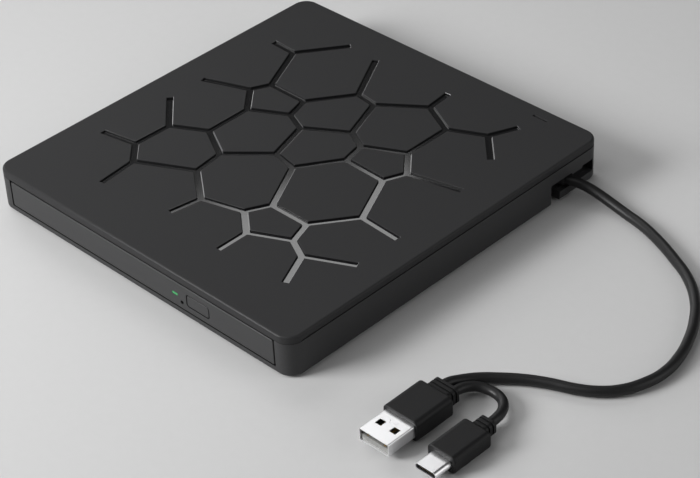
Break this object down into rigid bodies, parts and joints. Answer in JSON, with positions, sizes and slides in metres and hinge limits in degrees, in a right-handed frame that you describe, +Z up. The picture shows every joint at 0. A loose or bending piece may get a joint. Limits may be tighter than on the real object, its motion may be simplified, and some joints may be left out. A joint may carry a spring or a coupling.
{
  "type": "external dvd drive",
  "caption": "Slim external disc drive: square two-part case with a grooved lid, sliding disc tray on telescopic rails, eject button, and a short cord ending in tethered USB plugs.",
  "frame": {"origin": "middle of the case on the surface that its feet stand on", "axes": "+X to the right seen from the front, -Y to the front where the tray comes out, +Z up"},
  "size_m": [0.2272, 0.1533, 0.016],
  "materials": {
    "case_plastic": "fine matte grain",
    "tray_plastic": "satin moulded",
    "black_rubber": "matte",
    "foam": "open foam",
    "cord_jacket": "satin jacket",
    "plated_steel": "zinc-plated sheet",
    "bright_steel": "ground and polished",
    "plug_steel": "nickel-plated",
    "white_plastic": "natural acetal",
    "black_plastic": "moulded",
    "board": "solder mask",
    "ribbon": "polyester film",
    "copper": "enamelled wire",
    "light_pipe": "clear",
    "lens_glass": "coated"
  },
  "bodies": {
    "base": {"top_cover": "case_plastic", "bottom_case": "case_plastic", "rubber_feet": "black_rubber", "case_screws": "plated_steel", "foam_pads": "foam", "lid_light_pipe": "black_plastic", "bridge_board": "board", "bridge_chips": "black_plastic", "bridge_socket": "black_plastic", "lead_wires": "copper", "strain_relief": "cord_jacket", "drive_chassis": "plated_steel", "drive_top_plate": "plated_steel", "left_rail_guide": "white_plastic", "right_rail_guide": "white_plastic", "connector_board": "board", "drive_connector": "black_plastic", "latch_stud": "plated_steel", "tray_ribbon": "ribbon", "usb_cord": "cord_jacket", "tether_cord": "cord_jacket", "plug_a_grip": "cord_jacket", "plug_a_shell": "plug_steel", "plug_a_tongue": "white_plastic", "plug_c_grip": "cord_jacket", "plug_c_shell": "plug_steel", "plug_c_insert": "black_plastic"},
    "tray": {"disc_tray": "tray_plastic", "front_bezel": "case_plastic", "status_light_pipe": "light_pipe", "status_led": "white_plastic", "switch_board": "board", "eject_switch": "black_plastic", "traverse_chassis": "plated_steel", "traverse_cover": "tray_plastic", "damper_bushes": "black_rubber", "main_guide_rod": "bright_steel", "side_guide_rod": "bright_steel", "feed_motor": "bright_steel", "spindle_stator": "copper", "control_board": "board", "control_chips": "black_plastic", "latch_solenoid": "copper", "ejector_unit": "bright_steel"},
    "left_rail": {"left_rail": "plated_steel"},
    "right_rail": {"right_rail": "plated_steel"},
    "button": {"eject_button": "case_plastic"},
    "spindle": {"turntable": "tray_plastic", "turntable_pad": "black_rubber", "rotor_magnet": "black_plastic"},
    "claw_1": {"disc_claw_1": "white_plastic"},
    "claw_2": {"disc_claw_2": "white_plastic"},
    "claw_3": {"disc_claw_3": "white_plastic"},
    "sled": {"pickup_sled": "tray_plastic"},
    "lens": {"lens_holder": "tray_plastic", "objective_lens": "lens_glass"},
    "screw": {"lead_screw": "bright_steel"},
    "latch": {"latch_lever": "white_plastic"}
  },
  "joints": [
    {"name": "tray_slide", "type": "slide", "parent": "base", "child": "tray", "axis": [0, -1, 0], "range_m": [0, 0.125], "deforming": ["tray_ribbon"]},
    {"name": "left_rail_slide", "type": "slide", "parent": "base", "child": "left_rail", "axis": [0, -1, 0], "range_m": [0, 0.0625]},
    {"name": "right_rail_slide", "type": "slide", "parent": "base", "child": "right_rail", "axis": [0, -1, 0], "range_m": [0, 0.0625]},
    {"name": "eject_button_push", "type": "slide", "parent": "tray", "child": "button", "axis": [0, 1, 0], "range_m": [0, 0.0005], "stiffness_N_per_m": 200},
    {"name": "spindle_spin", "type": "hinge", "parent": "tray", "child": "spindle", "pos_m": [0, -0.0089, 0.0065], "axis": [0, 0, 1], "continuous": true},
    {"name": "disc_claw_1_slide", "type": "slide", "parent": "spindle", "child": "claw_1", "axis": [1, 0, 0], "range_m": [-0.0004, 0], "stiffness_N_per_m": 100},
    {"name": "disc_claw_2_slide", "type": "slide", "parent": "spindle", "child": "claw_2", "axis": [-0.5, 0.866, 0], "range_m": [-0.0004, 0], "stiffness_N_per_m": 100},
    {"name": "disc_claw_3_slide", "type": "slide", "parent": "spindle", "child": "claw_3", "axis": [-0.5, -0.866, 0], "range_m": [-0.0004, 0], "stiffness_N_per_m": 100},
    {"name": "sled_feed", "type": "slide", "parent": "tray", "child": "sled", "axis": [-0.7071, -0.7071, 0], "range_m": [0, 0.0325]},
    {"name": "lead_screw_turn", "type": "hinge", "parent": "tray", "child": "screw", "pos_m": [-0.0396, -0.02587, 0.0052], "axis": [-0.7071, -0.7071, 0], "continuous": true},
    {"name": "lens_focus", "type": "slide", "parent": "sled", "child": "lens", "axis": [0, 0, 1], "range_m": [-0.00035, 0.00035], "stiffness_N_per_m": 40},
    {"name": "latch_swing", "type": "hinge", "parent": "tray", "child": "latch", "pos_m": [0.053, -0.062, 0.004], "axis": [0, 0, -1], "range_deg": [0, 12], "stiffness_Nm_per_rad": 0.002}
  ],
  "couplings": [
    {"joint": "left_rail_slide", "follows": "tray_slide", "ratio": 0.5},
    {"joint": "right_rail_slide", "follows": "tray_slide", "ratio": 0.5},
    {"joint": "lead_screw_turn", "follows": "sled_feed", "rad_per_m": 2094.4}
  ]
}
